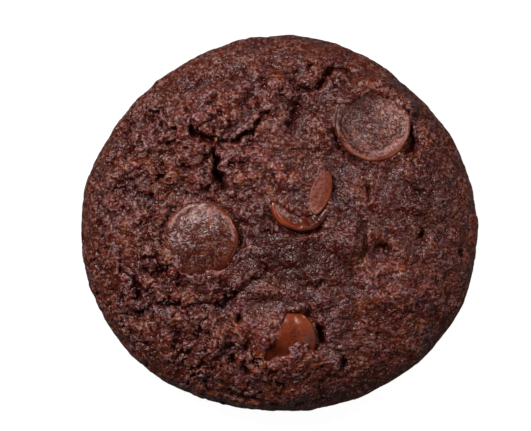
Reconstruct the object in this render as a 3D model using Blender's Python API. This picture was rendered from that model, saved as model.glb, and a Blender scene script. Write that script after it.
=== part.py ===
"""A double chocolate cookie: one baked dough body with chocolate chips sunk in its top.

+Z is up and the origin is the middle of the flat underside, at the centre of the outline.
Run it with: blender --background --python part.py
"""

import math

import bmesh
import bpy
import numpy as np
from mathutils import Matrix, Vector

# Driving dimensions, in metres.
WIDTH = 0.0680  # across X, the widest way
CROWN = 0.0158  # height of the plain dome, before its lumps
EQUATOR = 0.0056  # height at which the side bulges furthest out
FOOT = 0.86  # radius of the flat underside, as a share of the outline
GAP = 0.0003  # clearance between a chip and the dough round it

# The dome is a superellipse: the first power squares its plan, the second its top.
DOME_POWER = 2.75
TOP_POWER = 1.95

# The outline is a circle bent by a few waves: number of lobes, size, direction in degrees.
OUTLINE_WAVES = ((1, 0.0205, -82), (2, 0.0258, 3), (3, 0.0154, -95), (4, 0.0034, -39), (5, 0.0040, 54))

GRID = 56  # squares along each side of the top's grid
SIDE_WEIGHT = 0.42  # how finely the side wall is divided, against the top
MM = 0.001

# Swellings of the dough: x, y, half length, half breadth, turn in degrees, height; all but the turn in mm.
LUMPS = {
    "upper_left_plate": (-10.6, 20.0, 6.2, 4.6, 10, 0.75),
    "top_ridge": (3.8, 26.4, 5.6, 2.4, 5, 0.55),
    "top_knob": (-3.4, 24.6, 2.4, 2.2, 0, 0.40),
    "left_of_fork": (-15.6, 11.8, 2.9, 2.6, 0, 0.65),
    "outer_left_high": (-22.8, 13.8, 3.0, 2.7, 30, 0.45),
    "outer_left": (-25.6, 8.2, 2.7, 2.7, 0, 0.35),
    "above_left_chip": (-18.2, 5.8, 2.8, 2.2, 0, 0.45),
    "middle": (-1.6, 8.6, 6.6, 4.4, -32, 1.05),
    "middle_right": (6.2, 13.2, 2.3, 4.8, 0, 0.55),
    "buried_chip": (10.4, -3.7, 3.7, 3.9, 0, 0.90),
    "lower_left": (-19.6, -11.6, 4.2, 2.7, -8, 0.80),
    "lower_left_inner": (-9.4, -20.2, 3.4, 3.0, 0, 0.55),
    "lower_middle": (-0.9, -12.2, 4.6, 1.9, 4, 0.55),
    "right_low": (18.4, -10.6, 4.8, 4.2, 0, 0.45),
    "right_high": (20.6, 8.8, 2.8, 2.4, 0, 0.35),
    "lower_chip_mound": (0.6, -20.6, 6.9, 6.7, 0, 1.15),
}

# Cracks and folds: half width and depth, then the points each one runs through; all in mm.
CREASES = {
    "fork_trunk": (1.35, 2.0, ((-10.9, 13.4), (-11.0, 10.8), (-9.9, 8.8), (-9.7, 5.9))),
    "fork_west": (1.25, 1.0, ((-10.9, 13.4), (-13.2, 14.7), (-15.5, 15.5), (-15.0, 17.2))),
    "fork_east": (1.25, 1.3, ((-10.9, 13.6), (-7.3, 14.2), (-5.0, 15.7), (-4.3, 17.4), (-2.1, 18.0))),
    "top_right_fold": (1.30, 1.1, ((3.3, 18.4), (3.4, 21.7), (5.6, 22.5), (8.0, 24.6), (11.3, 25.6))),
    "left_fold": (1.30, 1.1, ((-22.7, -7.9), (-23.8, -10.4), (-22.8, -14.3), (-21.6, -16.6))),
    "middle_fold": (1.25, 1.1, ((-9.6, -14.6), (-6.9, -11.5), (-2.9, -10.1), (-0.2, -7.9), (1.6, -8.3))),
    "right_fold": (1.40, 0.9, ((14.4, -6.0), (17.9, -4.3), (19.7, -2.8))),
    "right_of_lower_chip": (1.25, 1.5, ((5.9, -17.4), (7.3, -19.9), (8.0, -21.6))),
    "left_of_lower_chip": (1.25, 1.5, ((-5.6, -18.4), (-6.4, -20.7), (-6.0, -23.0))),
    "under_lower_chip": (1.25, 0.9, ((-3.9, -26.2), (0.8, -27.4), (5.4, -26.0))),
}

# Chips lie broad base upward: where the top's middle is and how far it rises over the dome, in mm; which way
# and how far it leans, in degrees; its radius and the depth of its dished top, in mm.
CHIP_DEPTH = 0.0048  # from rim to tip: a baked chip has slumped
CHIP_WALL = 0.0016  # height of its upright side
CHIP_STEPS = 24
CHIPS = {
    "chip_left": {"at": (-12.8, -2.7), "rise": 0.45, "lean": (192, 11), "radius": 6.3, "dish": 0.30},
    "chip_upper_right": {"at": (15.2, 16.0), "rise": 0.55, "lean": (38, 19), "radius": 6.4, "dish": 0.45},
    "chip_lower": {"at": (1.2, -20.2), "rise": 0.15, "lean": (262, 19), "radius": 5.5, "dish": 0.75},
    "chip_centre": {"at": (4.1, 3.6), "rise": -0.20, "lean": (85, 9), "radius": 5.0, "dish": 0.60},
}
MOAT = (0.9, 0.75)  # half width and depth, in mm, of the sunk ring of dough round a chip
DISH_UNDER = 1.0  # how far the dough's own surface passes under a chip's top, in mm

# Dough that laps over a chip: x, y, half length, half breadth, turn in degrees, height over the chip; mm.
LAPS = {
    "over_upper_right": (13.2, 21.6, 5.2, 2.6, 24, 0.9),
    "over_lower_left_side": (-3.4, -18.6, 2.6, 3.6, -28, 0.9),
    "over_lower_foot": (2.6, -24.6, 4.6, 2.4, 6, 0.9),
    "over_centre": (3.2, 6.8, 5.4, 3.0, 0, 1.0),
}

# The leaf-shaped flake of chip that lies against the middle one; lengths in mm, angles in degrees.
FLAKE = {"at": (6.9, 5.0), "rise": 0.55, "lean": (200, 14), "turn": 80, "length": 7.2, "breadth": 3.7}
FLAKE_THICKNESS = 1.7
FLAKE_STEPS = 24

DOUGH = {"color": (0.125, 0.046, 0.036, 1), "roughness": 0.75}
CHOCOLATE = {"color": (0.170, 0.045, 0.026, 1), "roughness": 0.35}


def clear_scene():
    for obj in list(bpy.data.objects):
        bpy.data.objects.remove(obj)


def outline(angle):
    """The outline's radius in this direction, as a share of the mean radius."""
    return 1 + sum(size * math.cos(lobes * angle - math.radians(way)) for lobes, size, way in OUTLINE_WAVES)


def outline_box():
    """Middle and width of the outline, for a mean radius of 1."""
    angles = [math.radians(step / 4) for step in range(1440)]
    xs = [outline(a) * math.cos(a) for a in angles]
    ys = [outline(a) * math.sin(a) for a in angles]
    return (max(xs) + min(xs)) / 2, (max(ys) + min(ys)) / 2, max(xs) - min(xs)


MIDDLE_X, MIDDLE_Y, SPREAD = outline_box()
MEAN_RADIUS = WIDTH / SPREAD


def profile():
    """The section from the crown's middle, over the side's bulge, to the foot: radius share and height."""
    steps = np.linspace(0, math.pi / 2, 120)
    dome_r = np.sin(steps) ** (2 / DOME_POWER)
    dome_z = EQUATOR + (CROWN - EQUATOR) * np.cos(steps) ** (2 / TOP_POWER)
    under_r = FOOT + (1 - FOOT) * np.cos(steps[1:])
    under_z = EQUATOR * (1 - np.sin(steps[1:]))
    return np.concatenate([dome_r, under_r]), np.concatenate([dome_z, under_z])


def spaced_profile():
    """The section with a running measure from 0 to 1 along it, which counts the side wall for less."""
    radius, height = profile()
    across = np.diff(radius) * MEAN_RADIUS
    down = np.diff(height) * SIDE_WEIGHT
    run = np.concatenate([[0], np.cumsum(np.hypot(across, down))])
    return run / run[-1], radius, height


def distance_to_path(x, y, path):
    """Distance from a point to the nearest of a path's straight legs."""
    nearest = math.inf
    for a, b in zip(path, path[1:]):
        share = ((x - a[0]) * (b[0] - a[0]) + (y - a[1]) * (b[1] - a[1])) / math.dist(a, b) ** 2
        share = min(max(share, 0.0), 1.0)
        at = (a[0] + share * (b[0] - a[0]), a[1] + share * (b[1] - a[1]))
        nearest = min(nearest, math.dist((x, y), at))
    return nearest


def crease_depth(x, y, crease):
    """How deep a crease is at a point, in mm."""
    width, depth, path = crease
    return depth * math.exp(-((distance_to_path(x, y, path) / width) ** 2))


def swelling(x, y, lump):
    """A flat-topped bump: 1 in its middle, falling off steeply at its edge."""
    at_x, at_y, long, broad, turn, _ = lump
    turn = math.radians(turn)
    u = ((x - at_x) * math.cos(turn) + (y - at_y) * math.sin(turn)) / long
    v = ((y - at_y) * math.cos(turn) - (x - at_x) * math.sin(turn)) / broad
    return math.exp(-((u * u + v * v) ** 2))


def chip_axis(chip):
    """Unit vector out of the chip's top face."""
    way, lean = (math.radians(a) for a in chip["lean"])
    return Vector((math.sin(lean) * math.cos(way), math.sin(lean) * math.sin(way), math.cos(lean)))


def dome_height(x, y):
    """Height of the plain dome over a point, in mm."""
    from_x = x * MM / MEAN_RADIUS + MIDDLE_X
    from_y = y * MM / MEAN_RADIUS + MIDDLE_Y
    share = min(math.hypot(from_x, from_y) / outline(math.atan2(from_y, from_x)), 1.0)
    angle_down = math.asin(share ** (DOME_POWER / 2))
    return (EQUATOR + (CROWN - EQUATOR) * math.cos(angle_down) ** (2 / TOP_POWER)) / MM


def chip_top(chip, x, y):
    """Height of the plane of the chip's top face over a point, in mm."""
    axis = chip_axis(chip)
    at_x, at_y = chip["at"]
    middle = dome_height(at_x, at_y) + chip["rise"]
    return middle - (axis.x * (x - at_x) + axis.y * (y - at_y)) / axis.z


def relief(x, y):
    """How far the dough stands above the plain dome at a point, in mm."""
    height = sum(lump[5] * swelling(x, y, lump) for lump in LUMPS.values())
    height -= max(crease_depth(x, y, crease) for crease in CREASES.values())
    plain = dome_height(x, y)
    cover = max(swelling(x, y, lap) for lap in LAPS.values())
    cover = min(1.0, 2.2 * cover)
    for chip in CHIPS.values():
        near = math.dist((x, y), chip["at"])
        radius = chip["radius"]
        if near < radius + 3 * MOAT[0]:
            under = chip_top(chip, x, y) - DISH_UNDER - plain
            over = chip_top(chip, x, y) + LAPS["over_centre"][5] - plain
            inside = 1 / (1 + math.exp((near - radius) / 0.25))
            moat = MOAT[1] * math.exp(-(((near - radius - MOAT[0]) / MOAT[0]) ** 2))
            bare = (1 - inside) * (height - moat) + inside * under
            lapped = (1 - inside) * height + inside * over
            height = (1 - cover) * bare + cover * max(lapped, bare)
    return height


def dough_point(u, v, measure, radius, height):
    """Where the grid's point (u, v), each from -1 to 1, lies on the dough."""
    disc_x = u * math.sqrt(1 - v * v / 2)
    disc_y = v * math.sqrt(1 - u * u / 2)
    share = min(math.hypot(disc_x, disc_y), 1.0)
    angle = math.atan2(disc_y, disc_x)
    reach = float(np.interp(share, measure, radius)) * outline(angle) * MEAN_RADIUS
    z = float(np.interp(share, measure, height))
    x = reach * math.cos(angle) - MIDDLE_X * MEAN_RADIUS
    y = reach * math.sin(angle) - MIDDLE_Y * MEAN_RADIUS
    return Vector((x, y, z))


def make_material(name, finish):
    material = bpy.data.materials.new(name)
    material.use_nodes = True
    shader = material.node_tree.nodes["Principled BSDF"]
    shader.inputs["Base Color"].default_value = finish["color"]
    shader.inputs["Roughness"].default_value = finish["roughness"]
    shader.inputs["Metallic"].default_value = 0.0
    material.diffuse_color = finish["color"]
    return material


def make_object(name, mesh_builder, material):
    """A named object whose mesh is the given bmesh."""
    mesh = bpy.data.meshes.new(name)
    mesh_builder.to_mesh(mesh)
    mesh_builder.free()
    mesh.materials.append(material)
    mesh.shade_smooth()
    mesh.set_sharp_from_angle(angle=math.radians(50))
    obj = bpy.data.objects.new(name, mesh)
    bpy.context.scene.collection.objects.link(obj)
    return obj


def build_dough(material):
    """A square grid laid over the dome down to the foot, lifted by the relief and closed with a flat face."""
    measure, radius, height = spaced_profile()
    shape = bmesh.new()
    bmesh.ops.create_grid(shape, x_segments=GRID, y_segments=GRID, size=1.0)
    for vert in shape.verts:
        vert.co = dough_point(vert.co.x, vert.co.y, measure, radius, height)
    shape.normal_update()
    lifts = {}
    for vert in shape.verts:
        facing_up = min(max((vert.normal.z - 0.25) / 0.4, 0.0), 1.0)
        lifts[vert] = facing_up * relief(vert.co.x / MM, vert.co.y / MM) * MM
    for vert, lift in lifts.items():
        vert.co.z += lift
    rim = [edge for edge in shape.edges if edge.is_boundary]
    for edge in rim:
        for vert in edge.verts:
            vert.co.z = 0.0
    bmesh.ops.contextual_create(shape, geom=rim)
    bmesh.ops.recalc_face_normals(shape, faces=shape.faces)
    return make_object("cookie", shape, material)


def chip_profile(radius, dish, grow):
    """A chip's section from the middle of its dished top, over the rim, down to its blunt tip; in metres."""
    radius, dish = radius * MM, dish * MM
    rim = radius * 0.16
    slope = (radius * 0.72, -CHIP_WALL - 0.45 * (CHIP_DEPTH - CHIP_WALL))
    points = [(0.0, -dish), (radius * 0.45, -dish), (radius - 2 * rim, -dish * 0.75), (radius - rim, 0.0)]
    points += [(radius - 0.3 * rim, -0.25 * rim), (radius, -rim), (radius, -CHIP_WALL)]
    points += [slope, (radius * 0.34, -CHIP_DEPTH * 0.93), (0.0, -CHIP_DEPTH)]
    out = [(0, 1), (0, 1), (-0.2, 1), (0, 1), (0.7, 0.7), (1, 0.1), (1, -0.2), (0.6, -0.8), (0.4, -0.9), (0, -1)]
    return [(r + grow * a, z + grow * b) for (r, z), (a, b) in zip(points, out)]


def spin_section(section):
    """A closed round body, from its section spun about Z."""
    shape = bmesh.new()
    verts = [shape.verts.new((r, 0, z)) for r, z in section]
    edges = [shape.edges.new(pair) for pair in zip(verts, verts[1:])]
    bmesh.ops.spin(
        shape,
        geom=verts + edges,
        cent=(0, 0, 0),
        axis=(0, 0, 1),
        angle=math.tau,
        steps=CHIP_STEPS,
    )
    bmesh.ops.remove_doubles(shape, verts=shape.verts, dist=1e-6)
    bmesh.ops.recalc_face_normals(shape, faces=shape.faces)
    return shape


def place(obj, piece):
    """Sets a piece on the dough: its own +Z leans as the piece's axis does."""
    at_x, at_y = piece["at"]
    lean = Vector((0, 0, 1)).rotation_difference(chip_axis(piece)).to_matrix().to_4x4()
    turn = Matrix.Rotation(math.radians(piece.get("turn", 0)), 4, "Z")
    z = (dome_height(at_x, at_y) + piece["rise"]) * MM
    obj.matrix_world = Matrix.Translation((at_x * MM, at_y * MM, z)) @ lean @ turn


def make_cutter(obj):
    obj.hide_render = True
    obj.display_type = "WIRE"
    return obj


def build_chip(name, chip, grow, material):
    """One chip, its broad base upward; grow swells it, for its cutter."""
    section = chip_profile(chip["radius"], chip["dish"], grow)
    obj = make_object(name, spin_section(section), material)
    place(obj, chip)
    return obj


def build_flake(name, grow, material):
    """A leaf-shaped slab with a raised edge, pointed at both ends."""
    long, broad = FLAKE["length"] * MM / 2 + grow, FLAKE["breadth"] * MM / 2 + grow
    thick = FLAKE_THICKNESS * MM
    shape = bmesh.new()
    ring = []
    for step in range(FLAKE_STEPS):
        angle = math.tau * step / FLAKE_STEPS
        narrow = abs(math.sin(angle)) ** 1.25
        ring.append(shape.verts.new((long * math.cos(angle), math.copysign(broad * narrow, math.sin(angle)), 0)))
    base = shape.faces.new(ring)
    top = bmesh.ops.extrude_face_region(shape, geom=[base])["geom"]
    top_face = next(g for g in top if isinstance(g, bmesh.types.BMFace))
    for vert in top_face.verts:
        vert.co.z = grow
    for vert in ring:
        vert.co.z = -thick - grow
    bmesh.ops.recalc_face_normals(shape, faces=shape.faces)
    if not grow:
        inset = bmesh.ops.inset_region(shape, faces=[top_face], thickness=0.00035, use_even_offset=True)
        for face in inset["faces"]:
            face.smooth = True
        for vert in top_face.verts:
            vert.co.z = -0.00025
    obj = make_object(name, shape, material)
    place(obj, FLAKE)
    return obj


def cut(body, cutter, name):
    """Hollows the body out where the cutter is."""
    boolean = body.modifiers.new(name, "BOOLEAN")
    boolean.operation = "DIFFERENCE"
    boolean.object = make_cutter(cutter)


def main():
    clear_scene()
    dough = make_material("dough", DOUGH)
    chocolate = make_material("chocolate", CHOCOLATE)
    cookie = build_dough(dough)
    for name, chip in CHIPS.items():
        build_chip(name, chip, 0.0, chocolate)
        cut(cookie, build_chip(name + "_socket", chip, GAP, chocolate), name + "_socket")
    build_flake("chip_flake", 0.0, chocolate)
    flake_space = build_flake("chip_flake_socket", GAP, chocolate)
    cut(cookie, flake_space, "chip_flake_socket")
    cut(bpy.data.objects["chip_centre"], flake_space, "chip_flake_socket")


main()
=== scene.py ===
import math

import bpy
import numpy as np
from mathutils import Matrix, Vector, noise


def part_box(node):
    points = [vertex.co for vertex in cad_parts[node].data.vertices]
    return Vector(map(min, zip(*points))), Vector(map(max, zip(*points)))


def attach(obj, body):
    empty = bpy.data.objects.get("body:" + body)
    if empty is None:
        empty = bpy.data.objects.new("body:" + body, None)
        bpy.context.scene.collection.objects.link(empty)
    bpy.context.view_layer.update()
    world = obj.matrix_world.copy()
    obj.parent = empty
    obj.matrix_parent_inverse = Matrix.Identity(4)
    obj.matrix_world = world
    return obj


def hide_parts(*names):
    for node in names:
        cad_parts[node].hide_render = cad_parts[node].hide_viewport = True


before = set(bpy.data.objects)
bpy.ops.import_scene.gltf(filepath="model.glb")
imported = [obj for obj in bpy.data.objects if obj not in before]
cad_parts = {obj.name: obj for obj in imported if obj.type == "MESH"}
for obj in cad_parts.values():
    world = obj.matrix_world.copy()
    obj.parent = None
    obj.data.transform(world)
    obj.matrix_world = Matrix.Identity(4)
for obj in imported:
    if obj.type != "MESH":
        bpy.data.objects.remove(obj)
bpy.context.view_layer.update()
mm = 0.001


def goTo(mode):
    bpy.ops.object.mode_set(mode=mode)


def deselectAll():
    if bpy.context.object and bpy.context.object.mode != "OBJECT":
        goTo("OBJECT")
    bpy.ops.object.select_all(action="DESELECT")


def pick(piece):
    deselectAll()
    piece.select_set(True)
    bpy.context.view_layer.objects.active = piece


def applyModifier(piece, kind, **settings):
    pick(piece)
    modifier = piece.modifiers.new(kind.lower(), kind)
    for name, value in settings.items():
        setattr(modifier, name, value)
    bpy.ops.object.modifier_apply(modifier=modifier.name)


def remesh(piece, voxel):
    applyModifier(piece, "REMESH", mode="VOXEL", voxel_size=voxel * mm)


def extrude(lift):
    bpy.ops.mesh.extrude_region_move(TRANSFORM_OT_translate={"value": (0, 0, lift)})


def applyPlace(piece):
    pick(piece)
    bpy.ops.object.transform_apply(location=True, rotation=True, scale=True)


def readVectors(piece, field):
    values = np.empty(len(piece.data.vertices) * 3, np.float32)
    piece.data.vertices.foreach_get(field, values)
    return values.reshape(-1, 3).astype(float)


def readPoints(piece):
    return readVectors(piece, "co")


def readNormals(piece):
    return readVectors(piece, "normal")


def readSurface(piece):
    # points in mm, and normals
    return readPoints(piece) / mm, readNormals(piece)


def writePoints(piece, points):
    piece.data.vertices.foreach_set("co", points.astype(np.float32).ravel())
    piece.data.update()


def writeMasks(piece, **masks):
    # one value per vertex under each name, for the materials
    for name, values in masks.items():
        mask = piece.data.attributes.new(name, "FLOAT", "POINT")
        mask.data.foreach_set("value", np.asarray(values, np.float32))


def fade(low, high, values):
    share = np.clip((values - low) / (high - low), 0, 1)
    return share * share * (3 - 2 * share)


def cloudField(points, size, octaves=3, seed=0):
    # smooth unevenness, about -1 to 1
    shift = Vector((seed * 7.31, seed * 3.17, seed * 5.53))
    return np.array([noise.fractal(Vector(p) / size + shift, 1.0, 2.0, octaves) for p in points])


def cellField(points, size, seed=0):
    # distance to the nearest cell middle and to the second one, and a number that is the cell's own
    shift = Vector((seed * 7.31, seed * 3.17, seed * 5.53))
    rows = []
    for p in points:
        reach, middles = noise.voronoi(Vector(p) / size + shift)
        rows.append((reach[0], reach[1], noise.cell(middles[0] * 9.7)))
    return np.array(rows).T


def waves(points, heights, seeds):
    # broad and tight unevenness together, in mm
    broad, tight = (high * cloudField(points, size, 2, seed) for (high, size), seed in zip(heights, seeds))
    return broad + tight


def strayed(points, amount, size, octaves, seed, axes=3):
    # the points moved a little, so that what is built on them wanders
    shifts = [cloudField(points, size, octaves, seed + axis) for axis in range(axes)]
    return points + amount * np.column_stack(shifts + [np.zeros(len(points))] * (3 - axes))


def smoothOver(piece, values, rounds):
    # spreads values over the surface, each vertex taking the mean of its neighbours
    count = len(piece.data.vertices)
    edges = np.empty(len(piece.data.edges) * 2, np.int32)
    piece.data.edges.foreach_get("vertices", edges)
    a, b = edges.reshape(-1, 2).T
    ends, others = np.concatenate([a, b]), np.concatenate([b, a])
    degree = np.maximum(np.bincount(ends, minlength=count), 1)
    values = np.atleast_2d(values.T)
    for _ in range(rounds):
        values = np.array([np.bincount(ends, row[others], minlength=count) / degree for row in values])
    return values.T.squeeze()


def hollowness(piece, rounds):
    # how far each vertex lies under its surroundings, in mm; negative on a bump
    points = readPoints(piece)
    around = smoothOver(piece, points, rounds)
    return ((around - points) * readNormals(piece)).sum(1) / mm


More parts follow.
